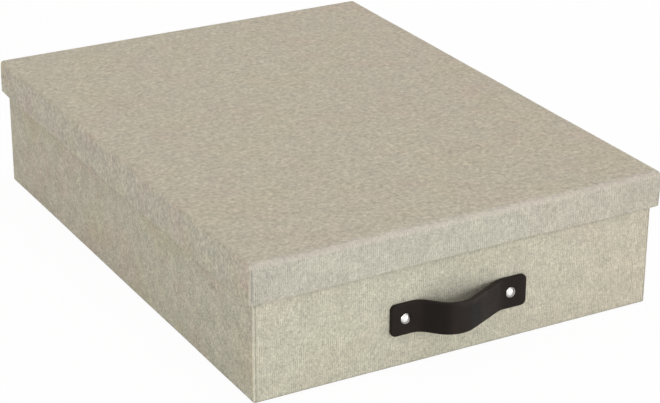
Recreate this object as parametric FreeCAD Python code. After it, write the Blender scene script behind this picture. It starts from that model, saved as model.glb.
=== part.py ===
import FreeCAD, Part
import math
import os
from FreeCAD import Vector

# A rigid document box covered in linen cloth: a base, a lid that lifts off and a strap handle.
# Millimetres. +Z is up, the handle is on the front (-Y), and the origin is the middle of the
# face that the box rests on.

# The box over its cloth
lid_width = 260.0  # left to right
lid_length = 350.0  # front to back
box_height = 82.0  # from the foot of the base's cloth to the top of the lid
lid_depth = 21.5  # from the lid's rim to its top
lid_edge_radius = 2.2
base_edge_radius = 1.4
lid_clearance = 0.4  # between the lid's lining and the base's cloth, all round

# Thicknesses
lid_top_thickness = 2.0
lid_wall_thickness = 2.0
base_wall_thickness = 2.0
base_floor_thickness = 2.0
card_thickness = 0.5
cloth = 0.45
lining = 0.2
stay = 0.15

# Laps and folds
lid_turn_in = 12.0  # cloth turned in, from the lid's rim
base_turn_in = 18.0  # cloth turned in, from the base's rim
base_turn_under = 15.0  # cloth turned under, from the base's sides
lining_setback = 3.0  # from a rim to the edge of the lining
card_setback = 4.0  # from the base's sides to the edge of the underside card
stay_leg = 14.0  # from a corner of the boards to the end of a stay

# The handle
strap_width = 18.6
strap_thickness = 2.7
strap_drop = 0.3  # from the height of the rivets' axes down to the strap's middle
left_strap_end = 8.9  # from the left rivet's axis to the strap's left end
right_strap_end = 10.4
strap_corner_radius = 3.0
handle_height = 29.2  # from the foot of the base's cloth to the rivets' axes
handle_offset = -2.35  # from the middle of the box to midway between the rivets
rivet_spacing = 67.2
left_rise_angle = 46.9  # degrees, between the wall and the strap's straight run
right_rise_angle = 25.5  # degrees
left_foot_radius = 12.6  # bends are measured on the face towards the wall
right_foot_radius = 14.6
crest_radius = 15.0
foot_clearance = 0.3  # from a rivet's head to the strap's first bend

# The rivets
rivet_head_radius = 3.5
rivet_head_height = 1.9
rivet_shank_radius = 1.5
rivet_tail_radius = 2.4
rivet_tail_height = 0.7
rivet_hole_clearance = 0.05  # radial
washer_radius = 4.0
washer_thickness = 0.8


def inset(plan, distance):
    """A (width, length) plan with each side moved in, or out by a negative distance."""
    width, length = plan
    return width - 2 * distance, length - 2 * distance


lid_plan = (lid_width, lid_length)
lid_board_plan = inset(lid_plan, cloth)
lid_inner_plan = inset(lid_board_plan, lid_wall_thickness)
lid_mouth_plan = inset(lid_inner_plan, cloth + lining)
base_plan = inset(lid_mouth_plan, lid_clearance)
base_board_plan = inset(base_plan, cloth)
base_inner_plan = inset(base_board_plan, base_wall_thickness)

# Heights, from the ground up
base_foot = card_thickness
base_board_foot = base_foot + cloth
floor_top = base_board_foot + base_floor_thickness
lid_top = base_foot + box_height
top_board_top = lid_top - cloth
top_board_under = top_board_top - lid_top_thickness
lid_ceiling = top_board_under - lining
lid_rim = lid_top - lid_depth
lid_board_rim = lid_rim + cloth
base_rim = lid_ceiling
base_board_rim = base_rim - cloth

# The handle stands on the front wall's cloth.
front_face = -base_plan[1] / 2
front_lining_face = -base_inner_plan[1] / 2 + lining
strap_face = front_face - strap_thickness
washer_face = front_lining_face + washer_thickness
rivet_height = base_foot + handle_height
rivet_places = {
    "left": handle_offset - rivet_spacing / 2,
    "right": handle_offset + rivet_spacing / 2,
}


def slab(across, along, heights):
    """A box between a low and a high value on X, Y and Z."""
    corner = Vector(across[0], along[0], heights[0])
    sizes = (high - low for low, high in (across, along, heights))
    return Part.makeBox(*sizes, corner)


def is_upright(edge):
    low, high = (vertex.Z for vertex in edge.Vertexes)
    return not math.isclose(low, high)


def is_at_height(edge, height):
    return all(math.isclose(vertex.Z, height) for vertex in edge.Vertexes)


def block(plan, low, high, corner_radius=0.0):
    """A block on a plan, with its upright edges rounded."""
    width, length = plan
    shape = slab((-width / 2, width / 2), (-length / 2, length / 2), (low, high))
    if corner_radius > 0:
        shape = shape.makeFillet(corner_radius, [e for e in shape.Edges if is_upright(e)])
    return shape


def cushioned_block(plan, low, high, radius):
    """A block with its upright edges and its upper edges rounded."""
    shape = block(plan, low, high)
    rounded = [e for e in shape.Edges if is_upright(e) or is_at_height(e, high)]
    return shape.makeFillet(radius, rounded)


def ring(outer, inner, low, high, outer_radius=0.0, inner_radius=0.0):
    """The upright sheet between two plans."""
    low, high = min(low, high), max(low, high)
    return block(outer, low, high, outer_radius).cut(block(inner, low, high, inner_radius))


def joined(first, *others):
    return first.fuse(others).removeSplitter()


def wall_boards(envelope, inner, low, high):
    """The four walls between an envelope and an inner plan. Front and back run the full width."""
    half_width, half_length = inner[0] / 2, inner[1] / 2
    beyond = max(lid_plan)
    regions = {
        "front": ((-beyond, beyond), (-beyond, -half_length)),
        "back": ((-beyond, beyond), (half_length, beyond)),
        "left": ((-beyond, -half_width), (-half_length, half_length)),
        "right": ((half_width, beyond), (-half_length, half_length)),
    }
    return {
        side: envelope.common(slab(across, along, (low, high)))
        for side, (across, along) in regions.items()
    }


def corner_stays(board_plan, low, high, board_radius):
    """Four L-shaped paper strips, pasted over the upright corners of the boards."""
    hoop = ring(inset(board_plan, -stay), board_plan, low, high, board_radius + stay, board_radius)
    beyond = max(lid_plan)
    half_gap_across, half_gap_along = (side / 2 - stay_leg for side in board_plan)
    gap_across = slab((-half_gap_across, half_gap_across), (-beyond, beyond), (low, high))
    gap_along = slab((-beyond, beyond), (-half_gap_along, half_gap_along), (low, high))
    return hoop.cut([gap_across, gap_along])


def lapped_lining(wall_plan, seat, cloth_edge, lining_edge):
    """Lining paper on the walls, from its seat, over the turned-in cloth, to just short of the rim."""
    towards_rim = math.copysign(1, lining_edge - seat)
    step = cloth_edge - towards_rim * lining
    on_board = ring(wall_plan, inset(wall_plan, lining), seat, cloth_edge)
    over_edge = ring(wall_plan, inset(wall_plan, cloth + lining), step, cloth_edge)
    on_cloth = ring(
        inset(wall_plan, cloth), inset(wall_plan, cloth + lining), cloth_edge, lining_edge
    )
    return joined(on_board, over_edge, on_cloth)


def turned_in_cloth(board_plan, inner_plan, rim, board_rim, cloth_edge, board_radius=0.0):
    """Cloth folded over a rim and pasted down inside the walls, to its cut edge."""
    turned_plan = inset(inner_plan, cloth)
    over_rim = ring(board_plan, turned_plan, rim, board_rim, board_radius)
    inside = ring(inner_plan, turned_plan, board_rim, cloth_edge)
    return joined(over_rim, inside)


def lid_nodes():
    board_radius = lid_edge_radius - cloth
    envelope = cushioned_block(lid_board_plan, lid_board_rim, top_board_top, board_radius)
    top_board = envelope.common(block(lid_plan, top_board_under, lid_top))
    walls = wall_boards(envelope, lid_inner_plan, lid_board_rim, top_board_under)
    stays = corner_stays(lid_board_plan, lid_board_rim, top_board_under, board_radius)

    outside = cushioned_block(lid_plan, lid_rim, lid_top, lid_edge_radius)
    inside = cushioned_block(lid_board_plan, lid_rim, top_board_top, board_radius)
    cloth_edge = lid_rim + lid_turn_in
    turn_in = turned_in_cloth(
        lid_board_plan, lid_inner_plan, lid_rim, lid_board_rim, cloth_edge, board_radius
    )
    cover = joined(outside.cut(inside), turn_in).cut(stays)

    ceiling = block(lid_inner_plan, lid_ceiling, top_board_under)
    sides = lapped_lining(lid_inner_plan, lid_ceiling, cloth_edge, lid_rim + lining_setback)
    nodes = {f"lid_{side}_board": wall for side, wall in walls.items()}
    nodes["lid_top_board"] = top_board
    nodes["lid_corner_stays"] = stays
    nodes["lid_cover_cloth"] = cover
    nodes["lid_lining"] = joined(ceiling, sides)
    return nodes


def base_nodes():
    board_radius = base_edge_radius - cloth
    envelope = block(base_board_plan, base_board_foot, base_board_rim, board_radius)
    walls = wall_boards(envelope, base_inner_plan, base_board_foot, base_board_rim)
    stays = corner_stays(base_board_plan, base_board_foot, base_board_rim, board_radius)

    cloth_edge = base_rim - base_turn_in
    outside = ring(
        base_plan, base_board_plan, base_foot, base_rim, base_edge_radius, board_radius
    )
    turn_in = turned_in_cloth(
        base_board_plan, base_inner_plan, base_rim, base_board_rim, cloth_edge, board_radius
    )
    turn_under = ring(
        base_board_plan, inset(base_plan, base_turn_under), base_foot, base_board_foot, board_radius
    )

    nodes = {f"base_{side}_board": wall for side, wall in walls.items()}
    nodes["base_floor_board"] = block(base_inner_plan, base_board_foot, floor_top)
    nodes["base_corner_stays"] = stays
    nodes["base_wall_cloth"] = joined(outside, turn_in, turn_under).cut(stays)
    nodes["base_wall_lining"] = lapped_lining(
        base_inner_plan, floor_top, cloth_edge, base_rim - lining_setback
    )
    nodes["base_floor_lining"] = block(
        inset(base_inner_plan, lining), floor_top, floor_top + lining
    )
    nodes["base_underside_card"] = block(inset(base_plan, card_setback), 0, card_thickness)
    return nodes


def bent_path(corners, radii):
    """Straight runs from corner to corner, with a tangent arc at each inner corner."""
    edges = []
    start = corners[0]
    for before, corner, after, radius in zip(corners, corners[1:], corners[2:], radii):
        back = (before - corner).normalize()
        ahead = (after - corner).normalize()
        half_turn = (math.pi - back.getAngle(ahead)) / 2
        reach = radius * math.tan(half_turn)
        sagitta_to_corner = radius / math.cos(half_turn) - radius
        arc_start = corner + back * reach
        arc_end = corner + ahead * reach
        arc_middle = corner + (back + ahead).normalize() * sagitta_to_corner
        edges.append(Part.makeLine(start, arc_start))
        edges.append(Part.Arc(arc_start, arc_middle, arc_end).toShape())
        start = arc_end
    edges.append(Part.makeLine(start, corners[-1]))
    return edges


def strap():
    """A leather strip that lies on the wall at both ends and bows out between the rivets."""
    low = rivet_height - strap_drop - strap_width / 2
    left_slope = math.tan(math.radians(left_rise_angle))
    right_slope = math.tan(math.radians(right_rise_angle))
    flat = rivet_head_radius + foot_clearance
    left_foot = rivet_places["left"] + flat
    left_foot += left_foot_radius * math.tan(math.radians(left_rise_angle) / 2)
    right_foot = rivet_places["right"] - flat
    right_foot -= right_foot_radius * math.tan(math.radians(right_rise_angle) / 2)
    rise = (right_foot - left_foot) * left_slope * right_slope / (left_slope + right_slope)

    left_end = rivet_places["left"] - left_strap_end
    right_end = rivet_places["right"] + right_strap_end
    route = [
        (left_end, 0),
        (left_foot, 0),
        (left_foot + rise / left_slope, rise),
        (right_foot, 0),
        (right_end, 0),
    ]
    corners = [Vector(across, front_face - out, low) for across, out in route]
    path = Part.Wire(bent_path(corners, (left_foot_radius, crest_radius, right_foot_radius)))
    section = path.makeOffset2D(strap_thickness, fill=True, openResult=True)
    strip = section.extrude(Vector(0, 0, strap_width))
    ends = [
        edge
        for edge in strip.Edges
        if all(
            math.isclose(vertex.X, left_end) or math.isclose(vertex.X, right_end)
            for vertex in edge.Vertexes
        )
        and not is_upright(edge)
    ]
    return strip.makeFillet(strap_corner_radius, ends)


def dome_arc(radius, height, seat, place):
    """Half of a dome's outline, from its crown to its rim. The dome stands on a seat, facing out."""
    sphere_radius = (radius**2 + height**2) / (2 * height)
    half_angle = math.asin(radius / sphere_radius) / 2
    middle_radius = sphere_radius * math.sin(half_angle)
    middle_height = height - sphere_radius * (1 - math.cos(half_angle))
    crown = place(0, seat + height)
    middle = place(middle_radius, seat + middle_height)
    return Part.Arc(crown, middle, place(radius, seat)).toShape()


def rivet(across):
    """A domed head on the strap, a shank through the wall, and a tail clinched on the washer."""
    grip = washer_face - strap_face
    full_turn = 360

    def place(radius, outwards):
        return Vector(across + radius, strap_face - outwards, rivet_height)

    head = dome_arc(rivet_head_radius, rivet_head_height, 0, place)
    tail = dome_arc(rivet_tail_radius, -rivet_tail_height, -grip, place)
    outline = Part.Wire([
        head,
        Part.makeLine(place(rivet_head_radius, 0), place(rivet_shank_radius, 0)),
        Part.makeLine(place(rivet_shank_radius, 0), place(rivet_shank_radius, -grip)),
        Part.makeLine(place(rivet_shank_radius, -grip), place(rivet_tail_radius, -grip)),
        tail,
        Part.makeLine(place(0, -grip - rivet_tail_height), place(0, rivet_head_height)),
    ])
    return Part.Face(outline).revolve(place(0, 0), Vector(0, 1, 0), full_turn)


def rod(across, radius, near, far):
    """A round bar on a rivet's axis, from one distance along Y to another."""
    return Part.makeCylinder(
        radius, far - near, Vector(across, near, rivet_height), Vector(0, 1, 0)
    )


def rivet_holes():
    hole_radius = rivet_shank_radius + rivet_hole_clearance
    return [
        rod(across, hole_radius, strap_face, washer_face) for across in rivet_places.values()
    ]


def main():
    nodes = {**lid_nodes(), **base_nodes(), "handle_strap": strap()}
    for side, across in rivet_places.items():
        nodes[f"{side}_rivet"] = rivet(across)
        nodes[f"{side}_washer"] = rod(across, washer_radius, front_lining_face, washer_face)
    pierced = ["handle_strap", "base_wall_cloth", "base_front_board", "base_wall_lining"]
    pierced += [f"{side}_washer" for side in rivet_places]
    for name in pierced:
        nodes[name] = nodes[name].cut(rivet_holes())

    os.makedirs("parts", exist_ok=True)
    for name, shape in nodes.items():
        shape.exportStep(f"parts/{name}.step")


main()
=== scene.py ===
import math

import bmesh
import bpy
from mathutils import Matrix, Vector


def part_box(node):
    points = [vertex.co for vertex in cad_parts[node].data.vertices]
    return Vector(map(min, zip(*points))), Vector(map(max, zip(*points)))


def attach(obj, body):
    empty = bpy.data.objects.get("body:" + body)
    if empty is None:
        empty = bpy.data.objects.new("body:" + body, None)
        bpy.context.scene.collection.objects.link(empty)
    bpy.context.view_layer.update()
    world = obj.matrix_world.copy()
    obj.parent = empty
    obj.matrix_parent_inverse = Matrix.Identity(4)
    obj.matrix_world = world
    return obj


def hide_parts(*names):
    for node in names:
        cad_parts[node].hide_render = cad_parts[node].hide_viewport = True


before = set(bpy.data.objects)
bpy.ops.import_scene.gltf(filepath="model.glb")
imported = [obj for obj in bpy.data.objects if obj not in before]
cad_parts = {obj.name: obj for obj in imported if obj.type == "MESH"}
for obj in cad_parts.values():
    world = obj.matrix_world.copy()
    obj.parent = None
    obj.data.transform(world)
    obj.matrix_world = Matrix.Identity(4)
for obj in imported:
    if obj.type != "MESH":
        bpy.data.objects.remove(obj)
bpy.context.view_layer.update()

# A linen-covered document box: its pasted cloths, its leather strap and its rivets.
# Metres. +Z is up and the strap is on the front (-Y).

mm = 0.001

# ---------------------------------------------------------------- sizes

same_place = 0.01 * mm  # two places nearer than this count as one
smooth_below = math.radians(40)  # edges blunter than this are shaded smooth

cloth = 0.45 * mm
wall_board = 2.0 * mm
folded_wall = wall_board + 2 * cloth  # a wall board with its cloth on both faces

lid_low, lid_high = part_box("lid_cover_cloth")
lid_turn_in = 12.0 * mm
lid_edge_radius = 2.2 * mm

base_low, base_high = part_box("base_wall_cloth")
base_turn_in = 18.0 * mm
base_turn_under = 15.0 * mm
base_edge_radius = 1.4 * mm
upright_radius = 1.2 * mm  # the cloth is rubbed hard over the upright corners
rim_corner_radius = 1.6 * mm
top_corner_reach = 9 * mm  # how far down the corners widen towards the top, and up towards the rim
rim_corner_reach = 5 * mm
foot_radius = 1.0 * mm
rim_radius = 1.25 * mm
lid_rim_radius = 0.8 * mm  # its outer fold is drawn tight
turn_in_radius = 0.6 * mm

lap_from_corner = 1.3 * mm  # from an upright corner to the cut edge of the overlapping cloth
lap_height = 0.2 * mm
lap_edge = 0.12 * mm
# thickness, length and height of the cloth folded under at a corner
corner_tab = Vector((0.2, 10.5, 6.7)) * mm
tab_edge = 0.6 * mm
rim_droop = 2.2 * mm  # the hand-set lid hangs lower at its front left corner
droop_start = Vector((60, 175, 0)) * mm  # and is level from here on
droop_reach = Vector((180, 350, 0)) * mm
droop_curve = 1.5
cloth_panel = 6.0 * mm  # spacing of the cloth's cross cuts, which let it undulate
cloth_undulation = 0.3 * mm
undulation_size = 70 * mm
panel_margin = 4 * mm  # no cross cut comes nearer to an edge than this

strap_low, strap_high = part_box("handle_strap")
strap_thickness = 2.7 * mm
strap_corner_radius = 3.0 * mm
strap_edge_rounding = 0.55 * mm
left_rise = math.radians(46.9)
right_rise = math.radians(25.5)
left_foot_radius = 12.6 * mm
right_foot_radius = 14.6 * mm
crest_radius = 15.0 * mm
foot_clearance = 0.3 * mm
left_strap_end = 8.9 * mm
right_strap_end = 10.4 * mm
strap_drop = 0.3 * mm
strap_bend_step = 4  # degrees
strap_bend_fewest = 4  # steps
strap_cut = 1.1 * mm  # spacing of the cross cuts, which let the leather be drawn in at a rivet
strap_cut_left = 8 * mm  # how far they reach on either side of a rivet
strap_cut_right = 6 * mm
strap_face_depth = 0.1 * mm  # points no deeper than this belong to its front face

# places across the strap: it is painted paler at the crest, as painted light, and darker on both slopes,
# as painted shade
crest = (-13 * mm, 14 * mm)
crest_bend = (-16 * mm, 0.5 * mm)
left_slope = (-29 * mm, -13 * mm)
right_slope = (-7 * mm, 9 * mm)
place_fade = 4.5 * mm  # each fades out over this length, inside its ends

rivet_head_radius = 3.5 * mm
rivet_crown_radius = 3.3 * mm  # the polished head, inside its CAD disc
rivet_head_height = 1.9 * mm
rivet_rim = 0.25 * mm
rivet_shank_radius = 1.5 * mm
rivet_tail_radius = 2.4 * mm
rivet_tail_height = 0.7 * mm
rivet_dish = 0.3 * mm
rivet_dish_radius = 4.6 * mm
rivet_sink = rivet_dish * 0.6  # how deep the head sits in the dish
rivet_tail_rim = 0.1 * mm
rivet_edge_rounding = 0.12 * mm
rivet_sides = 48
dome_rings = 9


# ---------------------------------------------------------------- shaping by hand


def pick_piece(piece):
    """Makes one piece the active one and the only one selected."""
    bpy.ops.object.select_all(action="DESELECT")
    piece.select_set(True)
    bpy.context.view_layer.objects.active = piece


def begin(piece):
    """Takes one piece into edit mode, with nothing on it selected."""
    pick_piece(piece)
    bpy.ops.object.mode_set(mode="EDIT")
    bpy.ops.mesh.select_mode(type="FACE")
    bpy.ops.mesh.select_all(action="DESELECT")


def end():
    bpy.ops.object.mode_set(mode="OBJECT")


def started(name, size=(1, 1, 1)):
    """Names the primitive just added, sizes it and puts its place into its mesh."""
    piece = bpy.context.object
    piece.name = piece.data.name = name
    piece.scale = size
    bpy.ops.object.transform_apply(location=True, rotation=True, scale=True)
    return piece


def pick_faces(piece, test):
    """Selects the faces whose middle and normal pass a test."""
    bpy.ops.mesh.select_mode(type="FACE")
    bpy.ops.mesh.select_all(action="DESELECT")
    mesh = bmesh.from_edit_mesh(piece.data)
    mesh.normal_update()
    for face in mesh.faces:
        face.select_set(bool(test(face.calc_center_median(), face.normal)))
    bmesh.update_edit_mesh(piece.data)


def pick_edges(piece, test):
    """Selects the edges whose two ends pass a test."""
    bpy.ops.mesh.select_mode(type="EDGE")
    bpy.ops.mesh.select_all(action="DESELECT")
    mesh = bmesh.from_edit_mesh(piece.data)
    for edge in mesh.edges:
        edge.select_set(bool(test(edge.verts[0].co, edge.verts[1].co)))
    bmesh.update_edit_mesh(piece.data)


def near(value, target):
    return abs(value - target) < same_place


def extrude(offset):
    bpy.ops.mesh.extrude_region_move(TRANSFORM_OT_translate={"value": offset})


def cut_across(axis, places):
    """Cuts the whole piece with planes square to an axis."""
    normal = Vector((0, 0, 0))
    normal[axis] = 1
    for place in places:
        bpy.ops.mesh.select_all(action="SELECT")
        bpy.ops.mesh.bisect(plane_co=normal * place, plane_no=normal)


def steps(start, stop, spacing):
    """Evenly spaced places strictly between two ends, about a spacing apart."""
    count = max(1, round((stop - start) / spacing))
    return [start + (stop - start) * step / count for step in range(1, count)]


def add_modifier(piece, kind, **settings):
    """Adds a modifier and applies it."""
    modifier = piece.modifiers.new(kind.lower(), kind)
    for name, value in settings.items():
        setattr(modifier, name, value)
    pick_piece(piece)
    bpy.ops.object.modifier_apply(modifier=modifier.name)


def smooth(piece):
    pick_piece(piece)
    bpy.ops.object.shade_smooth_by_angle(angle=smooth_below)


def outwards(piece):
    """Merges doubles and turns every face outwards."""
    begin(piece)
    bpy.ops.mesh.select_all(action="SELECT")
    bpy.ops.mesh.remove_doubles(threshold=0.002 * mm)
    bpy.ops.mesh.normals_make_consistent(inside=False)
    end()


# ---------------------------------------------------------------- finishes


class Shade:
    """A value that varies over a surface. Python's operators add Math nodes to its finish."""

    def __init__(self, finish, socket):
        self.finish = finish
        self.socket = socket

    def math(self, operation, *terms):
        return self.finish.node("ShaderNodeMath", {"operation": operation}, dict(enumerate(terms)))

    def __add__(self, other):
        return self.math("ADD", self, other)

    def __sub__(self, other):
        return self.math("SUBTRACT", self, other)

    def __rsub__(self, other):
        return self.math("SUBTRACT", other, self)

    def __mul__(self, other):
        return self.math("MULTIPLY", self, other)

    def __truediv__(self, other):
        return self.math("DIVIDE", self, other)

    def __rtruediv__(self, other):
        return self.math("DIVIDE", other, self)

    def __pow__(self, other):
        return self.math("POWER", self, other)

    def __rpow__(self, other):
        return self.math("POWER", other, self)

    def __abs__(self):
        return self.math("ABSOLUTE", self)

    __radd__ = __add__
    __rmul__ = __mul__

    def floor(self):
        return self.math("FLOOR", self)

    def sine(self):
        return self.math("SINE", self)

    def most(self, other):
        return self.math("MAXIMUM", self, other)

    def least(self, other):
        return self.math("MINIMUM", self, other)

    def rising(self, low, high):
        """0 below low, 1 above high, and a smooth rise between."""
        return self.finish.node(
            "ShaderNodeMapRange",
            {"interpolation_type": "SMOOTHSTEP"},
            {"Value": self, "From Min": low, "From Max": high},
        )


class Finish:
    """A procedural material, or the world's light, built node by node."""

    def __init__(self, tree):
        self.tree = tree
        tree.nodes.clear()

    def node(self, kind, settings=None, sockets=None, output=0):
        """Adds a node: first its settings, then the values or links of its sockets."""
        node = self.tree.nodes.new(kind)
        for name, value in (settings or {}).items():
            setattr(node, name, value)
        for key, value in (sockets or {}).items():
            socket = node.inputs[key]
            if isinstance(value, Shade):
                self.tree.links.new(value.socket, socket)
            elif socket.type == "RGBA" and len(value) == 3:
                socket.default_value = (*value, 1.0)
            else:
                socket.default_value = value
        return Shade(self, node.outputs[output] if node.outputs else None)

    def place(self):
        """The point on the object, in metres."""
        return self.node("ShaderNodeTexCoord", output="Object")

    def axes(self, vector):
        split = self.node("ShaderNodeSeparateXYZ", sockets={0: vector}).socket.node
        return [Shade(self, split.outputs[axis]) for axis in range(3)]

    def point(self, across, along, upwards=0.0):
        return self.node("ShaderNodeCombineXYZ", sockets={0: across, 1: along, 2: upwards})

    def noise(self, place, per_metre, detail, roughness=0.5):
        return self.node(
            "ShaderNodeTexNoise",
            sockets={"Vector": place, "Scale": per_metre, "Detail": detail, "Roughness": roughness},
        )

    def mixed(self, share, first, second, way="MIX"):
        """Two colours mixed by a share."""
        node = self.tree.nodes.new("ShaderNodeMix")
        node.data_type = "RGBA"
        node.blend_type = way
        for socket, value in ((0, share), (6, first), (7, second)):
            if isinstance(value, Shade):
                self.tree.links.new(value.socket, node.inputs[socket])
            else:
                node.inputs[socket].default_value = (*value, 1.0)
        return Shade(self, node.outputs[2])

    def tinted(self, share, colour, tone):
        """A colour multiplied by a tone, by a share."""
        return self.mixed(share, colour, tone, "MULTIPLY")

    def looked_at(self):
        """1 for what is seen directly, in a mirror or through glass, and 0 for stray light."""
        path = self.node("ShaderNodeLightPath").socket.node
        directly = Shade(self, path.outputs["Is Camera Ray"])
        mirrored = directly.most(Shade(self, path.outputs["Is Glossy Ray"]))
        return mirrored.most(Shade(self, path.outputs["Is Transmission Ray"]))

    def bumped(self, height, distance, strength):
        return self.node(
            "ShaderNodeBump", sockets={"Height": height, "Distance": distance, "Strength": strength}
        )

    def surface(self, sockets):
        shader = self.node("ShaderNodeBsdfPrincipled", sockets=sockets)
        self.node("ShaderNodeOutputMaterial", sockets={"Surface": shader})


def scaled(colour, factor, most=1.0):
    """A colour made darker or paler, with no channel above the most."""
    return tuple(min(most, factor * part) for part in colour)


def new_finish(name):
    material = bpy.data.materials.new(name)
    material.use_nodes = True
    return material, Finish(material.node_tree)


# the linen's threads
warp_pitch = 0.62 * mm
weft_pitch = 0.66 * mm
thread_wander = 0.7  # of a pitch
warp_changes = 210  # per metre along a warp thread
weft_changes = 350
changes_at_sides = 110  # more of both on the sides
changes_at_front = 40  # fewer of the weft's on the front
warp_apart = 3.71  # sets one thread's changes of shade apart from the next one's
weft_apart = 5.13

# how strongly each of these shows, and what is added to that where the warp leads
threads_show = (2.05, -0.55)
crossings_show = (0.12, 0.33)
dashes_show = (1.0, -0.48)
reed_shows = 0.16

# how much darker or paler than its tint these parts of the linen are
dark_thread = 0.64
pale_thread = 1.38
slub_tone = 0.62
gap_shade_tone = 0.5
painted_shade_tone = 0.4
worn_and_highlit_tone = 1.5

# the tones that its colour is multiplied by in places
cloud_tone = (0.5, 0.5, 0.5)
pink_tone = (1.01, 0.955, 0.97)
straw_tone = (1.01, 1.01, 0.94)
top_light_tone = (1.0, 0.957, 0.903)
grey_tone = (0.985, 1.01, 1.0)
sunned_front_tone = (0.985, 0.965, 0.955)
sunned_top_tone = (0.995, 0.98, 0.985)
end_darkening_tone = (0.945, 0.95, 0.95)
side_light_tone = (1.0, 0.975, 0.945)
tab_light_tone = (1.05, 1.07, 1.06)
handled_tone = (1.02, 0.965, 0.97)
brow_light_tone = (0.985, 0.995, 1.08)


def linen_cloth(name, tint, warp_leads, front_light_tone, front_contrast, cloudy_front, low, high, lap_reach):
    """Plain-woven linen. Its threads follow the piece's own map, which is the cloth laid flat."""
    material, finish = new_finish(name)
    lay = finish.node("ShaderNodeUVMap", {"uv_map": "cloth_lay"})
    wander = (finish.noise(lay, 120, 3.0) - 0.5) * thread_wander
    across, along, _ = finish.axes(lay)
    warp = across / warp_pitch + wander
    weft = along / weft_pitch + wander
    x, y, z = finish.axes(finish.place())
    normal = finish.node("ShaderNodeNewGeometry", output="Normal")
    facing_front = abs(finish.axes(normal)[1]).rising(0.6, 0.8)
    facing_side = abs(finish.axes(normal)[0]).rising(0.6, 0.8)
    in_from_x = high.x - abs(x)
    in_from_y = high.y - abs(y)
    below_top = high.z - z
    droop = ((droop_start.x - x) / droop_reach.x).most(0).least(1) ** droop_curve
    droop = droop * ((droop_start.y - y) / droop_reach.y).most(0).least(1) * rim_droop
    under_rim = lid_low.z - droop - z
    over_rim = z - lid_low.z + droop

    # where a warp thread is on top, and how high the thread stands there
    warp_wave = (warp * math.pi).sine()
    weft_wave = (weft * math.pi).sine()
    crossing = warp_wave * weft_wave
    warp_on_top = crossing.rising(-0.2, 0.2)
    weft_round = abs(weft_wave)
    top_round = weft_round + (abs(warp_wave) - weft_round) * warp_on_top
    stand = top_round**0.5 * (abs(crossing) ** 0.3)

    # each thread has its own shade, which changes along it, and each crossing has a little of its own
    warp_run = along * (warp_changes + facing_side * changes_at_sides)
    weft_run = across * (weft_changes + facing_side * changes_at_sides - facing_front * changes_at_front)
    warp_shade = finish.noise(finish.point(warp.floor() * warp_apart, warp_run), 1.0, 3.0, 0.7)
    weft_shade = finish.noise(finish.point(weft_run, weft.floor() * weft_apart, 7.0), 1.0, 3.0, 0.65)
    lead = facing_front if warp_leads is None else warp_leads
    thread_shade = weft_shade + (warp_shade - weft_shade) * (warp_on_top * 0.5 + lead * 0.5)
    crossing_shade = finish.node(
        "ShaderNodeTexWhiteNoise",
        {"noise_dimensions": "2D"},
        {"Vector": finish.point(warp.floor(), weft.floor())},
    )
    # pairs of warp threads share a dent of the reed, so the gaps between pairs show as fine lines
    dash = finish.noise(finish.point(across * 340, along * 340, 5.0), 1.0, 2.0)
    reed = warp_wave * finish.noise(lay, 70, 2.0).rising(0.3, 0.6)
    shade = 0.5 + reed * lead * reed_shows
    for part, (shows, added) in (
        (thread_shade, threads_show),
        (crossing_shade, crossings_show),
        (dash, dashes_show),
    ):
        shade = shade + (part - 0.5) * (shows + lead * added)
    contrast = 1 + facing_front * (front_contrast - 1) + facing_side * 0.3
    shade = 0.5 + (shade - 0.5) * contrast
    slub = weft_shade.rising(0.62, 0.78) * (1 - warp_on_top * 0.4)
    colour = finish.mixed(shade, scaled(tint, dark_thread), scaled(tint, pale_thread, most=0.95))
    colour = finish.mixed(slub * 0.25, colour, scaled(tint, slub_tone))
    # the gaps between the threads are darkened, as painted shade
    gap_shade = 1 - top_round.rising(0.1, 0.6)
    colour = finish.mixed(gap_shade * 0.3, colour, scaled(tint, gap_shade_tone))

    # the dye lot drifts in patches: paler and darker, a little pink, a little straw
    cloud = finish.noise(lay, 90, 3.0)
    pink = finish.noise(lay, 27, 2.0)
    straw = finish.noise(finish.point(across, along, 3.0), 24, 2.0)
    patchy = 0.75 + facing_side * 0.95 - facing_front * 0.35
    cloudy = 1 + facing_side * 0.8 + facing_front * cloudy_front
    colour = finish.tinted(cloud.rising(0.3, 0.7) * cloudy * 0.16, colour, cloud_tone)
    colour = finish.tinted(pink.rising(0.48, 0.66) * patchy * 0.85, colour, pink_tone)
    colour = finish.tinted(straw.rising(0.5, 0.66) * patchy * 0.6, colour, straw_tone)

    # the top is tinted warmer, as painted light colour; the front left is greyer, and light has changed
    # the right half
    near_top = 1 - below_top.rising(1.5 * mm, 4 * mm)
    colour = finish.tinted(near_top, colour, top_light_tone)
    from_grip = (x - low.x) + (y - low.y)
    greyed = (1 - near_top) * (1 - from_grip.rising(100 * mm, 230 * mm))
    greyed = greyed * (1 - over_rim.rising(0.0, 0.5 * mm) * 0.4)
    colour = finish.tinted(greyed, colour, grey_tone)
    # the front's tone: painted shade on the lid's front, painted light on the base's front
    colour = finish.tinted(facing_front, colour, front_light_tone)
    sunned = (x - low.x).rising(130 * mm, 260 * mm)
    colour = finish.tinted(sunned * facing_front, colour, sunned_front_tone)
    colour = finish.tinted(sunned * near_top, colour, sunned_top_tone)
    # the lid's front is a little darker towards both ends
    darker_front_ends = (1 - in_from_x.rising(0, 45 * mm)) * over_rim.rising(0, 0.5 * mm) * facing_front
    colour = finish.tinted(darker_front_ends, colour, end_darkening_tone)
    # the sides are tinted warmer, as painted light colour
    colour = finish.tinted(facing_side * (1 - near_top), colour, side_light_tone)
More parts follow.
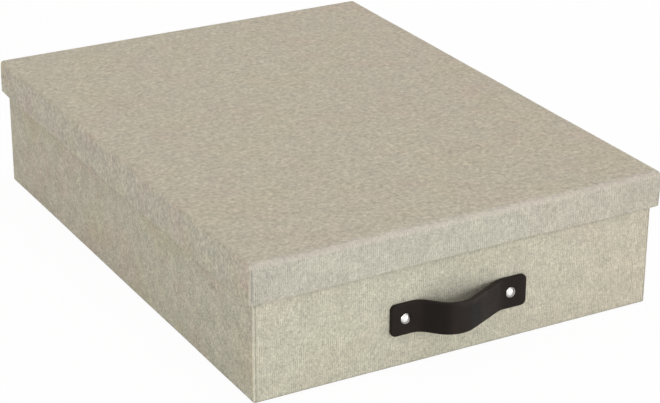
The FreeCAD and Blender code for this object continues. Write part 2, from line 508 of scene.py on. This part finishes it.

    # the folded tabs are paler, as painted light on their bulge, and hands have marked the corners of the
    # sides above them
    in_tab = (1 - in_from_y.rising(corner_tab.y - tab_edge, corner_tab.y)) * facing_side
    in_tab = in_tab * (1 - over_rim.rising(corner_tab.z - tab_edge, corner_tab.z))
    in_tab = in_tab * over_rim.rising(-0.2 * mm, 0.2 * mm)
    handled = (1 - (in_from_x + in_from_y).rising(4 * mm, 30 * mm)) * facing_side
    handled = handled * over_rim.rising(corner_tab.z - tab_edge, corner_tab.z + 1.5 * mm)
    colour = finish.tinted(in_tab, colour, tab_light_tone)
    colour = finish.tinted(handled, colour, handled_tone)

    # the edges are paler: partly wear from handling, and partly painted highlight along the front top
    # edge, the upright corners and the top corner points
    top_wear_and_highlight = 1 - abs(below_top - 1.9 * mm).rising(0.3 * mm, 1.85 * mm)
    front_brow = 1 - (y - low.y).rising(1 * mm, 5 * mm)
    # the front brow is tinted cooler, as painted light colour
    colour = finish.tinted(front_brow * near_top, colour, brow_light_tone)
    far_corner = from_grip.rising(60 * mm, 200 * mm)
    from_fold = in_from_x * 1.5 + in_from_y * 0.7
    corner_wear_and_highlight = (1 - from_fold.rising(0.2 * mm, 1.3 * mm)) * (1 - far_corner * 0.7)
    corner_wear_and_highlight = corner_wear_and_highlight * (0.6 + over_rim.rising(0, 0.5 * mm) * 0.25)
    point_wear_and_highlight = 1 - (in_from_x + in_from_y + below_top).rising(1.5 * mm, 3.6 * mm)
    worn_and_highlit = top_wear_and_highlight * (0.04 + front_brow * 0.09) + front_brow * near_top * 0.07
    worn_and_highlit = (worn_and_highlit + corner_wear_and_highlight + point_wear_and_highlight * 0.6) * (0.4 + stand * 0.9)
    colour = finish.mixed(worn_and_highlit, colour, scaled(tint, worn_and_highlit_tone, most=0.92))

    # painted shade at the cut edge of each lap, at the foot, under and along the lid's rim, and at the
    # far upright corners
    beside_lap = 1 - abs(in_from_x - lap_from_corner).rising(0.1 * mm, 0.5 * mm)
    in_reach = z.rising(lap_reach[0], lap_reach[0] + mm) * (1 - z.rising(lap_reach[1] - mm, lap_reach[1]))
    painted_shade = scaled(tint, painted_shade_tone)
    colour = finish.mixed(beside_lap * facing_front * in_reach * 0.5, colour, painted_shade)
    foot_shade = 1 - z.rising(base_low.z + 0.5 * mm, base_low.z + 1.6 * mm)
    hem_shade = (1 - over_rim.rising(0.2 * mm, 1.1 * mm)) * over_rim.rising(-0.2 * mm, 0.1 * mm)
    from_corner = in_from_x + in_from_y
    hidden = 3.1 * mm - facing_front * (1.6 * mm)
    rim_shade = 1 - (under_rim - hidden).rising(0.2 * mm, 2.2 * mm)
    rim_shade = rim_shade * under_rim.rising(-0.3 * mm, 0.3 * mm)
    along_rim = from_corner.rising(5 * mm, 26 * mm)
    at_corner = 1 - from_corner.rising(3 * mm, 6 * mm)
    rim_shade = rim_shade * (along_rim * 0.2 + at_corner * 0.4) + hem_shade * along_rim * 0.14
    rim_shade = rim_shade * (1 - facing_side * 0.75)
    corner_shade = (1 - from_corner.rising(0.4 * mm, 1.6 * mm)) * far_corner * (1 - near_top)
    foot_shade = foot_shade * (0.32 + facing_front * 0.12)
    colour = finish.mixed(foot_shade + rim_shade + corner_shade * 0.22, colour, painted_shade)

    height = stand + thread_shade * 0.5 + slub * 0.4
    finish.surface(
        {
            "Base Color": colour,
            "Roughness": 0.86 + (thread_shade - 0.5) * 0.1,
            "Normal": finish.bumped(height, 0.10 * mm, 0.8),
            "Specular IOR Level": 0.3,
            "Sheen Weight": 0.12,
            "Sheen Roughness": 0.5,
        }
    )
    return material


def fibre_board(name, colour, fleck):
    """Pressed pulp board or card, with flecks and a faint felt mark."""
    material, finish = new_finish(name)
    place = finish.place()
    pulp = finish.noise(place, 900, 4.0, 0.65)
    flecks = finish.noise(place, 2600, 2.0).rising(0.62, 0.72)
    cloud = finish.noise(place, 60, 2.0)
    tone = finish.mixed(pulp.rising(0.25, 0.75), scaled(colour, 0.82), colour)
    tone = finish.mixed(cloud * 0.3, tone, scaled(colour, 1.08))
    tone = finish.mixed(flecks * 0.5, tone, fleck)
    finish.surface(
        {
            "Base Color": tone,
            "Roughness": 0.82 + (pulp - 0.5) * 0.2,
            "Normal": finish.bumped(pulp + flecks * 0.3, 0.05 * mm, 0.7),
            "Specular IOR Level": 0.35,
        }
    )
    return material


def strap_leather(name):
    """Dark vegetable-tanned leather, with a fine grain and burnished brown edges."""
    material, finish = new_finish(name)
    place = finish.place()
    x, _, z = finish.axes(place)
    grain = finish.node(
        "ShaderNodeTexVoronoi",
        {"feature": "SMOOTH_F1"},
        {"Vector": place, "Scale": 1500, "Smoothness": 0.6, "Randomness": 1.0},
    )
    creases = finish.noise(place, 700, 5.0, 0.6)
    cloud = finish.noise(place, 90, 3.0, 0.55)
    middle = (strap_low.z + strap_high.z) / 2
    half_width = (strap_high.z - strap_low.z) / 2
    from_border = half_width - abs(z - middle)
    edge = 1 - from_border.rising(0.1 * mm, 0.55 * mm)
    border = 1 - (z - strap_low.z).rising(0.2 * mm, 0.9 * mm)
    tone = finish.mixed(cloud.rising(0.3, 0.7), (0.0085, 0.0056, 0.0042), (0.0150, 0.0098, 0.0074))
    tone = finish.mixed(grain.rising(0.0, 0.5) * 0.3, tone, (0.021, 0.014, 0.0105))
    tone = finish.mixed(border * 0.7, tone, (0.040, 0.017, 0.010))
    upper_edge = 1 - (strap_high.z - z).rising(1.0 * mm, 4.5 * mm)

    def within(stretch):
        """1 in a place across the strap and 0 outside it."""
        start, stop = stretch
        return (x - start).rising(0.0, place_fade) * (1 - (x - stop).rising(-place_fade, 0.0))

    # both slopes are darker: painted shade
    tone = finish.mixed(within(left_slope) * 0.8, tone, (0.0070, 0.0048, 0.0037))
    tone = finish.mixed(within(right_slope) * 0.8, tone, (0.0055, 0.0038, 0.0030))
    # the crest's top edge and its bend are paler: painted light
    tone = finish.mixed(upper_edge * within(crest) * 0.75, tone, (0.029, 0.0215, 0.0170))
    tone = finish.mixed(within(crest_bend) * 0.35, tone, (0.024, 0.018, 0.0145))
    tone = finish.mixed(edge * 0.3, tone, (0.018, 0.014, 0.012))
    finish.surface(
        {
            "Base Color": tone,
            "Roughness": 0.50 + (creases - 0.5) * 0.25 - edge * 0.08,
            "Normal": finish.bumped(grain + creases * 0.8, 0.05 * mm, 0.6),
            "Specular IOR Level": 0.12,
        }
    )
    return material


def metal_marks(finish, per_metre):
    """Fine hairlines along the metal, and a few dull spots."""
    place = finish.place()
    x, y, z = finish.axes(place)
    hairlines = finish.noise(finish.point(x * 0.25, y, z), per_metre, 3.0, 0.6)
    return hairlines, finish.noise(place, 500, 2.0).rising(0.55, 0.7)


def metal_surface(finish, tone, roughness, hairlines, spots):
    finish.surface(
        {
            "Base Color": tone,
            "Metallic": 1.0,
            "Roughness": roughness + (hairlines - 0.5) * 0.12 + spots * 0.06,
            "Normal": finish.bumped(hairlines, 0.01 * mm, 0.4),
        }
    )


def bare_steel(name, colour, roughness, per_metre):
    """Bare steel with fine hairlines and a few dull spots."""
    material, finish = new_finish(name)
    hairlines, spots = metal_marks(finish, per_metre)
    tone = finish.mixed(spots * 0.35, colour, scaled(colour, 0.8))
    metal_surface(finish, tone, roughness, hairlines, spots)
    return material


def rivet_nickel(name, rivet_x):
    """Bright plating with a painted reflection: pale on its upper left, darker elsewhere, and a small
    dark spot of painted reflection on its upper right.
    """
    material, finish = new_finish(name)
    x, _, z = finish.axes(finish.place())
    hairlines, spots = metal_marks(finish, 3000)

    def away(across, upwards, wide, tall):
        """How far outside an oval on the head a point is: below 1 is inside it."""
        one = (x - rivet_x - across) / wide
        other = (z - rivet_height - upwards) / tall
        return (one * one + other * other) ** 0.5

    # a painted reflection: pale on the upper left, darker elsewhere, with a dark spot of painted
    # reflection on the upper right
    painted_highlight = 1 - away(-1.6 * mm, 1.3 * mm, 1.6 * mm, 2.1 * mm).rising(0.6, 1.4)
    painted_dark_reflection = 1 - away(0.95 * mm, 1.95 * mm, 0.6 * mm, 0.7 * mm).rising(0.4, 1.1)
    tone = finish.mixed(painted_highlight, (0.33, 0.315, 0.30), (0.92, 0.90, 0.87))
    tone = finish.mixed(painted_dark_reflection * 0.85, tone, (0.06, 0.058, 0.058))
    tone = finish.mixed(spots * 0.2, tone, (0.42, 0.40, 0.385))
    metal_surface(finish, tone, 0.16, hairlines, spots)
    return material


# ---------------------------------------------------------------- camera, floor and light

camera_place = Vector((-0.5655, -1.0359, 0.5392))
camera_azimuth = math.radians(-29.245)
camera_elevation = math.radians(23.58)
camera_roll = math.radians(0.30)
camera_lens = 114.95  # millimetres
camera_sensor = 36  # millimetres wide
camera_nearest, camera_farthest = 0.01, 50

back = Vector(
    (
        math.sin(camera_azimuth) * math.cos(camera_elevation),
        -math.cos(camera_azimuth) * math.cos(camera_elevation),
        math.sin(camera_elevation),
    )
)
right = Vector((math.cos(camera_azimuth), math.sin(camera_azimuth), 0))
up = back.cross(right)
rolled_right = right * math.cos(camera_roll) + up * math.sin(camera_roll)
rolled_up = up * math.cos(camera_roll) - right * math.sin(camera_roll)

camera_data = bpy.data.cameras.new("camera")
camera_data.lens = camera_lens
camera_data.sensor_fit = "HORIZONTAL"
camera_data.sensor_width = camera_sensor
camera_data.clip_start, camera_data.clip_end = camera_nearest, camera_farthest
camera = bpy.data.objects.new("camera", camera_data)
camera_turn = Matrix((rolled_right, rolled_up, back)).transposed().to_4x4()
camera.matrix_world = Matrix.Translation(camera_place) @ camera_turn
bpy.context.scene.collection.objects.link(camera)
bpy.context.scene.camera = camera
bpy.context.scene.view_settings.view_transform = "Standard"


box_middle = Vector((0, 0, 0.04))


def soft_lamp(name, place, width, height, power, colour):
    """A soft rectangular lamp, aimed at the middle of the box."""
    data = bpy.data.lights.new(name, "AREA")
    data.shape = "RECTANGLE"
    data.size, data.size_y = width, height
    data.energy = power
    data.color = colour
    lamp = bpy.data.objects.new(name, data)
    lamp.location = place
    lamp.rotation_euler = (box_middle - Vector(place)).to_track_quat("-Z", "Y").to_euler()
    bpy.context.scene.collection.objects.link(lamp)


# name, place, width, height, watts and colour
soft_lamp("front_softbox", (0.08, -2.3, 0.29), 1.3, 1.3, 26, (0.98, 1.0, 1.0))
soft_lamp("right_softbox", (1.19, -1.7, 1.14), 1.3, 1.3, 5.6, (1.0, 1.0, 1.0))
soft_lamp("top_softbox", (0.2, 0.4, 2.2), 2.4, 2.4, 20.5, (1.0, 0.975, 0.94))
soft_lamp("left_softbox", (-2.4, -0.4, 0.9), 1.6, 1.4, 12.4, (1.0, 1.0, 1.0))

world = bpy.data.worlds.new("studio")
world.use_nodes = True
bpy.context.scene.world = world
studio = Finish(world.node_tree)
ambient = studio.node("ShaderNodeBackground", sockets={"Color": (1.0, 1.0, 1.0), "Strength": 0.40})
backdrop = studio.node("ShaderNodeBackground", sockets={"Color": (1, 1, 1), "Strength": 1.0})
surround = studio.node(
    "ShaderNodeMixShader", sockets={0: studio.looked_at(), 1: ambient, 2: backdrop}
)
studio.node("ShaderNodeOutputWorld", sockets={"Surface": surround})

floor_size = 12
floor_glow = 0.955  # the share of glow in what is seen of the paper
glow_beneath = 0.45  # and under the box, so that its underside isn't black from below


def floor_paper():
    """Pale paper that looks white from above and clear from below, and keeps a soft shadow."""
    material, finish = new_finish("floor_paper")
    place = finish.place()
    tooth = finish.noise(place, 40, 2.0)
    white = finish.mixed(tooth, (0.96, 0.96, 0.96), (0.99, 0.99, 0.99))
    paper = finish.node("ShaderNodeBsdfDiffuse", sockets={"Color": white})
    glow = finish.node("ShaderNodeEmission", sockets={"Color": (1, 1, 1), "Strength": 1.0})
    x, y, _ = finish.axes(place)
    beneath = 1 - (abs(x) - base_high.x).most(abs(y) - base_high.y).rising(-4 * mm, -1 * mm)
    glowing = (finish.looked_at() * floor_glow).most(beneath * glow_beneath)
    from_above = finish.node("ShaderNodeMixShader", sockets={0: glowing, 1: paper, 2: glow})
    from_below = finish.node("ShaderNodeBsdfTransparent")
    underneath = finish.node("ShaderNodeNewGeometry", output="Backfacing")
    sheet = finish.node("ShaderNodeMixShader", sockets={0: underneath, 1: from_above, 2: from_below})
    finish.node("ShaderNodeOutputMaterial", sockets={"Surface": sheet})
    return material


bpy.ops.object.select_all(action="DESELECT")
bpy.ops.mesh.primitive_plane_add(size=floor_size, location=(0, 0, 0))
floor = started("studio_floor")
floor.data.materials.append(floor_paper())


# ---------------------------------------------------------------- cloths


def covered_shell(name, low, high):
    """A closed block over a node's box, to be opened and folded in."""
    middle = (low + high) / 2
    bpy.ops.object.select_all(action="DESELECT")
    bpy.ops.mesh.primitive_cube_add(size=1, location=middle)
    return started(name, high - low)


def fold_in(piece, height, margin, turn):
    """Opens the level face at a height: a margin of it stays, and the rest is folded in."""
    pick_faces(piece, lambda middle, normal: near(middle.z, height) and abs(normal.z) > 0.9)
    bpy.ops.mesh.inset(thickness=margin)
    if turn:
        extrude((0, 0, turn))
    bpy.ops.mesh.delete(type="FACE")


def weigh_edges(piece, share, test):
    """Gives the edges that pass a test their share of the widest rounding."""
    pick_edges(piece, test)
    bpy.ops.transform.edge_bevelweight(value=share)


def round_weighed(piece, radius, segments):
    add_modifier(
        piece,
        "BEVEL",
        width=radius,
        segments=segments,
        limit_method="WEIGHT",
        use_clamp_overlap=False,
    )


def lay_flat(piece, lay):
    """Maps the cloth as it was before it was folded: each face by its normal, each corner by place."""
    layer = piece.data.uv_layers.new(name="cloth_lay")
    for face in piece.data.polygons:
        for corner in face.loop_indices:
            place = piece.data.vertices[piece.data.loops[corner].vertex_index].co
            layer.data[corner].uv = lay(place, face.normal)


def lap_corners(piece, half_width, low, high):
    """Raises the front and back cloths a little, up to their cut edges beside the corners."""
    cut = half_width - lap_from_corner
    cut_across(0, (-cut, cut, -cut + lap_edge, cut - lap_edge))
    for facing in (-1, 1):
        pick_faces(
            piece,
            lambda middle, normal: normal.y * facing > 0.99
            and middle.y * facing > 0
            and abs(middle.x) < cut - lap_edge
            and low < middle.z < high,
        )
        bpy.ops.transform.translate(value=(0, facing * lap_height, 0))


def fold_tabs(piece, half, rim):
    """Thickens the side cloths beside each corner, where the front cloth's end is folded under."""
    thickness, length, height = corner_tab
    for step_off in (0, lap_edge):
        cut = half.y - length - step_off
        cut_across(1, (-cut, cut))
        cut_across(2, (rim + height + step_off,))
    for facing in (-1, 1):
        pick_faces(
            piece,
            lambda middle, normal: normal.x * facing > 0.99
            and middle.x * facing > 0
            and abs(middle.y) > half.y - length
            and rim + rim_radius < middle.z < rim + height,
        )
        bpy.ops.transform.translate(value=(facing * thickness, 0, 0))


def let_rim_droop(piece, rim, top):
    """Draws the cloth down towards the front left corner, the most at the rim."""
    for vertex in piece.data.vertices:
        across = min(1.0, max(0.0, (droop_start.x - vertex.co.x) / droop_reach.x)) ** droop_curve
        along = min(1.0, max(0.0, (droop_start.y - vertex.co.y) / droop_reach.y))
        vertex.co.z -= rim_droop * across * along * (top - vertex.co.z) / (top - rim)


def soften_corners(piece, half, rim, top):
    """Widens the rounding of the upright corners towards the top and the rim."""
    for vertex in piece.data.vertices:
        for level, facing, widest, reach in (
            (top, 1, lid_edge_radius, top_corner_reach),
            (rim, -1, rim_corner_radius, rim_corner_reach),
        ):
            place = vertex.co
            away = (level - place.z) * facing
            share = min(1.0, max(0.0, 1 - (away - widest) / reach))
            radius = upright_radius + (widest - upright_radius) * share
            out = Vector((abs(place.x) - half.x + radius, abs(place.y) - half.y + radius, radius - away))
            out.z = max(0.0, out.z)
            if share == 0 or min(out.x, out.y) <= 0 or out.length <= radius:
                continue
            drawn_in = out * (1 - radius / out.length)
            place.x -= math.copysign(drawn_in.x, place.x)
            place.y -= math.copysign(drawn_in.y, place.y)
            place.z -= facing * drawn_in.z


def undulate(piece, half, low, high):
    """Lets the cloth wander in and out a little, but not where it is turned in behind the lining."""
    outer = piece.vertex_groups.new(name="shown_cloth")
    for vertex in piece.data.vertices:
        depth = min(half.x - abs(vertex.co.x), half.y - abs(vertex.co.y))
        if depth < folded_wall / 2 or not low < vertex.co.z < high:
            outer.add([vertex.index], 1.0, "REPLACE")
    waves = bpy.data.textures.new(piece.name + "_waves", "CLOUDS")
    waves.noise_scale = undulation_size
    waves.noise_depth = 1
    add_modifier(
        piece,
        "DISPLACE",
        texture=waves,
        texture_coords="LOCAL",
        strength=cloth_undulation,
        mid_level=0.45,
        vertex_group=outer.name,
    )


def weigh_folds(piece, half, rim, share_of_rim, share_of_turn_in):
    """The rim's outer edge and the edge where the cloth turns down inside the wall."""
    inner = half - Vector((folded_wall, folded_wall, 0))

    def outer_edge(a):
        return near(a.z, rim) and (near(abs(a.x), half.x) or near(abs(a.y), half.y))

    def inner_edge(a):
        on_side = near(abs(a.x), inner.x) or near(abs(a.y), inner.y)
        return near(a.z, rim) and on_side and not outer_edge(a)

    weigh_edges(piece, share_of_rim, lambda a, b: outer_edge(a) and outer_edge(b))
    weigh_edges(piece, share_of_turn_in, lambda a, b: inner_edge(a) and inner_edge(b))


def panel_cuts(half, low, high):
    for axis, start, stop in ((0, -half.x, half.x), (1, -half.y, half.y), (2, low, high)):
        cut_across(axis, steps(start + panel_margin, stop - panel_margin, cloth_panel))


def is_upright(a, b):
    return not near(a.z, b.z)


def on_corner(a, half):
    return near(abs(a.x), half.x) and near(abs(a.y), half.y)


def weigh_uprights(piece, half, widest):
    share = upright_radius / widest
    weigh_edges(piece, share, lambda a, b: is_upright(a, b) and on_corner(a, half))


def finish_cloth(piece, body, node, lay, material):
    lay_flat(piece, lay)
    add_modifier(piece, "SOLIDIFY", thickness=cloth, offset=-1)
    smooth(piece)
    piece.data.materials.append(material)
    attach(piece, body)
    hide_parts(node)


def make_lid_cloth():
    piece = covered_shell("lid_cloth", lid_low, lid_high)
    half = Vector((lid_high.x, lid_high.y, 0))
    rim, top = lid_low.z, lid_high.z
    begin(piece)
    fold_in(piece, rim, folded_wall, lid_turn_in)
    weigh_edges(piece, 1.0, lambda a, b: near(a.z, top) and near(b.z, top))
    weigh_uprights(piece, half, lid_edge_radius)
    weigh_folds(piece, half, rim, lid_rim_radius / lid_edge_radius, turn_in_radius / lid_edge_radius)
    end()
    round_weighed(piece, lid_edge_radius, 6)
    begin(piece)
    panel_cuts(half, rim, top)
    end()
    soften_corners(piece, half, rim, top)
    begin(piece)
    lap_corners(piece, half.x, rim + rim_radius, top - lid_edge_radius)
    fold_tabs(piece, half, rim)
    end()
    let_rim_droop(piece, rim, top)
    undulate(piece, half, rim, top - lid_edge_radius)

    def lay(place, normal):
        drop = top - place.z
        if abs(normal.y) >= abs(normal.x):
            return place.x, place.y + math.copysign(drop, place.y)
        return place.x + math.copysign(drop, place.x), place.y

    linen = linen_cloth(
        "lid_linen",
        tint=(0.566, 0.536, 0.446),
        warp_leads=None,  # only on the front, where the warp runs upright
        front_light_tone=(0.962, 0.957, 0.964),
        front_contrast=0.93,
        cloudy_front=0.2,
        low=lid_low,
        high=lid_high,
        lap_reach=(rim, top - lid_edge_radius),
    )
    finish_cloth(piece, "lid", "lid_cover_cloth", lay, linen)


def make_base_cloth():
    piece = covered_shell("base_cloth", base_low, base_high)
    half = Vector((base_high.x, base_high.y, 0))
    foot, rim = base_low.z, base_high.z
    begin(piece)
    fold_in(piece, foot, base_turn_under, 0)
    fold_in(piece, rim, folded_wall, -base_turn_in)
    weigh_uprights(piece, half, base_edge_radius)
    weigh_edges(
        piece,
        foot_radius / base_edge_radius,
        lambda a, b: on_corner(a, half) and on_corner(b, half) and near(a.z, foot) and near(b.z, foot),
    )
    weigh_folds(piece, half, rim, rim_radius / base_edge_radius, turn_in_radius / base_edge_radius)
    end()
    round_weighed(piece, base_edge_radius, 6)
    begin(piece)
    panel_cuts(half, foot, rim)
    lap_corners(piece, half.x, foot + foot_radius, rim - rim_radius)
    end()
    undulate(piece, half, foot + foot_radius, rim - rim_radius)

    def lay(place, normal):
        under = 0.0
        if normal.z < -0.5:
            under = min(half.x - abs(place.x), half.y - abs(place.y))
        if abs(normal.x) > abs(normal.y):
            return half.x + math.copysign(half.y + place.y, place.x), place.z - under
        return place.x, place.z - under

    linen = linen_cloth(
        "base_linen",
        tint=(0.566, 0.533, 0.434),
        warp_leads=1.0,
        front_light_tone=(1.02, 1.01, 1.0),
        front_contrast=1.0,
        cloudy_front=0.15,
        low=base_low,
        high=base_high,
        lap_reach=(foot, rim),
    )
    finish_cloth(piece, "base", "base_wall_cloth", lay, linen)


make_lid_cloth()
make_base_cloth()


# ---------------------------------------------------------------- strap and rivets

wall_face = strap_high.y
strap_face = wall_face - strap_thickness
strap_middle = (strap_low.z + strap_high.z) / 2
left_rivet_x = strap_low.x + left_strap_end
right_rivet_x = strap_high.x - right_strap_end
rivet_height = strap_middle + strap_drop


def swept_strap():
    """The strip, extruded along its straight runs and spun round its bends, from left to right."""
    heading = 0.0
    place = Vector((strap_low.x, wall_face, 0))

    def straight(length):
        nonlocal place
        ahead = Vector((math.cos(heading), math.sin(heading), 0)) * length
        extrude(ahead)
        place = place + ahead

    def bend(angle, radius):
        nonlocal place, heading
        side = math.copysign(1, angle)
        to_centre = Vector((-math.sin(heading), math.cos(heading), 0)) * side * radius
        centre = place + to_centre
        bpy.ops.mesh.spin(
            steps=max(strap_bend_fewest, round(abs(math.degrees(angle)) / strap_bend_step)),
            angle=angle,
            center=centre,
            axis=(0, 0, -1),
        )
        heading += angle
        place = centre + Matrix.Rotation(angle, 3, "Z") @ -to_centre

    flat = rivet_head_radius + foot_clearance
    crest_reach = crest_radius * math.tan((left_rise + right_rise) / 2)
    left_reach = left_foot_radius * math.tan(left_rise / 2)
    right_reach = right_foot_radius * math.tan(right_rise / 2)
    left_foot = left_rivet_x + flat + left_reach
    right_foot = right_rivet_x - flat - right_reach
    left_climb, right_climb = math.tan(left_rise), math.tan(right_rise)
    rise = (right_foot - left_foot) * left_climb * right_climb / (left_climb + right_climb)

    height = strap_high.z - strap_low.z
    bpy.ops.object.select_all(action="DESELECT")
    bpy.ops.mesh.primitive_plane_add(
        size=1,
        location=(strap_low.x, wall_face - strap_thickness / 2, strap_middle),
        rotation=(0, math.radians(90), 0),
    )
    piece = started("leather_strap", (height, strap_thickness, 1))
    begin(piece)
    bpy.ops.mesh.select_all(action="SELECT")
    extrude((left_foot - left_reach - strap_low.x, 0, 0))
    place = Vector((left_foot - left_reach, wall_face, 0))
    bend(-left_rise, left_foot_radius)
    straight(rise / math.sin(left_rise) - left_reach - crest_reach)
    bend(left_rise + right_rise, crest_radius)
    straight(rise / math.sin(right_rise) - crest_reach - right_reach)
    bend(-right_rise, right_foot_radius)
    straight(strap_high.x - place.x)
    end()
    outwards(piece)
    return piece


def make_strap():
    """The leather strap, with rounded ends and eased edges."""
    piece = swept_strap()
    begin(piece)
    pick_edges(
        piece,
        lambda a, b: near(a.x, b.x)
        and near(a.z, b.z)
        and (near(a.x, strap_low.x) or near(a.x, strap_high.x)),
    )
    bpy.ops.mesh.bevel(
        offset=strap_corner_radius, segments=6, affect="EDGES", offset_type="OFFSET"
    )
    cut_across(2, steps(strap_low.z, strap_high.z, strap_cut))
    for rivet_x in (left_rivet_x, right_rivet_x):
        cut_across(0, steps(rivet_x - strap_cut_left, rivet_x + strap_cut_right, strap_cut))
    end()
    add_modifier(
        piece,
        "BEVEL",
        width=strap_edge_rounding,
        segments=3,
        limit_method="ANGLE",
        angle_limit=math.radians(50),
        use_clamp_overlap=False,
    )
    # the leather is drawn in a little round each rivet
    for vertex in piece.data.vertices:
        if vertex.co.y > strap_face + strap_face_depth:
            continue
        for rivet_x in (left_rivet_x, right_rivet_x):
            away = math.hypot(vertex.co.x - rivet_x, vertex.co.z - rivet_height)
            vertex.co.y += rivet_dish * math.exp(-((away / rivet_dish_radius) ** 4))
    smooth(piece)
    piece.data.materials.append(strap_leather("strap_leather"))
    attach(piece, "base")
    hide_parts("handle_strap")


def dome(radius, height):
    """Raises the selected round face into a dome, ring by ring."""
    sphere = (radius**2 + height**2) / (2 * height)
    widest = math.asin(min(1.0, radius / sphere))
    base = sphere * math.cos(widest)
    before_radius, before_height = radius, 0.0
    for ring in range(1, dome_rings + 1):
        angle = widest * (1 - ring / (dome_rings + 0.6))
        ring_radius = sphere * math.sin(angle)
        ring_height = sphere * math.cos(angle) - base
        bpy.ops.mesh.inset(
            thickness=before_radius - ring_radius, depth=ring_height - before_height
        )
        before_radius, before_height = ring_radius, ring_height


def make_left_rivet():
    """A domed head on the strap, a shank through the wall and a clinched tail on the washer."""
    _, washer_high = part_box("left_washer")
    head_seat = strap_face + rivet_sink
    tail_seat = washer_high.y
    bpy.ops.object.select_all(action="DESELECT")
    bpy.ops.mesh.primitive_cylinder_add(
        vertices=rivet_sides,
        radius=rivet_shank_radius,
        depth=tail_seat - head_seat,
        location=(left_rivet_x, (tail_seat + head_seat) / 2, rivet_height),
        rotation=(math.radians(90), 0, 0),
    )
    piece = started("left_rivet_dome")
    begin(piece)
    for seat, facing, radius, rim, height in (
        (head_seat, -1, rivet_crown_radius, rivet_rim, rivet_head_height - rivet_rim + rivet_sink),
        (tail_seat, 1, rivet_tail_radius, rivet_tail_rim, rivet_tail_height - rivet_tail_rim),
    ):
        pick_faces(piece, lambda middle, normal: near(middle.y, seat) and normal.y * facing > 0.9)
        widen = radius / rivet_shank_radius
        bpy.ops.mesh.extrude_region_move()
        bpy.ops.transform.resize(
            value=(widen, 1, widen), center_override=(left_rivet_x, seat, rivet_height)
        )
        extrude((0, facing * rim, 0))
        dome(radius, height)
    end()
    outwards(piece)
    add_modifier(
        piece,
        "BEVEL",
        width=rivet_edge_rounding,
        segments=2,
        limit_method="ANGLE",
        angle_limit=math.radians(35),
    )
    smooth(piece)
    return piece


def copy_across(piece, name, distance):
    """A copy of a finished piece with a mesh of its own, moved to the right."""
    copied = piece.copy()
    copied.data = piece.data.copy()
    copied.name = copied.data.name = name
    bpy.context.scene.collection.objects.link(copied)
    begin(copied)
    bpy.ops.mesh.select_all(action="SELECT")
    bpy.ops.transform.translate(value=(distance, 0, 0))
    end()
    return copied


make_strap()
left_rivet = make_left_rivet()
right_rivet = copy_across(left_rivet, "right_rivet_dome", right_rivet_x - left_rivet_x)
for rivet, side, rivet_x in ((left_rivet, "left", left_rivet_x), (right_rivet, "right", right_rivet_x)):
    rivet.data.materials.append(rivet_nickel(side + "_rivet_nickel", rivet_x))
    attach(rivet, "base")
    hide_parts(side + "_rivet")


# ---------------------------------------------------------------- finishes of the kept parts

grey_board = fibre_board("grey_board", (0.36, 0.35, 0.33), (0.18, 0.17, 0.16))
stay_paper = fibre_board("stay_paper", (0.66, 0.60, 0.50), (0.45, 0.38, 0.29))
lining_paper = fibre_board("lining_paper", (0.80, 0.77, 0.70), (0.66, 0.62, 0.54))
underside_card = fibre_board("underside_card", (0.42, 0.39, 0.34), (0.25, 0.22, 0.19))
washer_steel = bare_steel("washer_steel", (0.62, 0.62, 0.61), roughness=0.32, per_metre=2000)
for name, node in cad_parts.items():
    for ending, finish in (
        ("_board", grey_board),
        ("_stays", stay_paper),
        ("_lining", lining_paper),
        ("_card", underside_card),
        ("_washer", washer_steel),
    ):
        if name.endswith(ending):
            for material_slot in node.material_slots:
                material_slot.material = finish
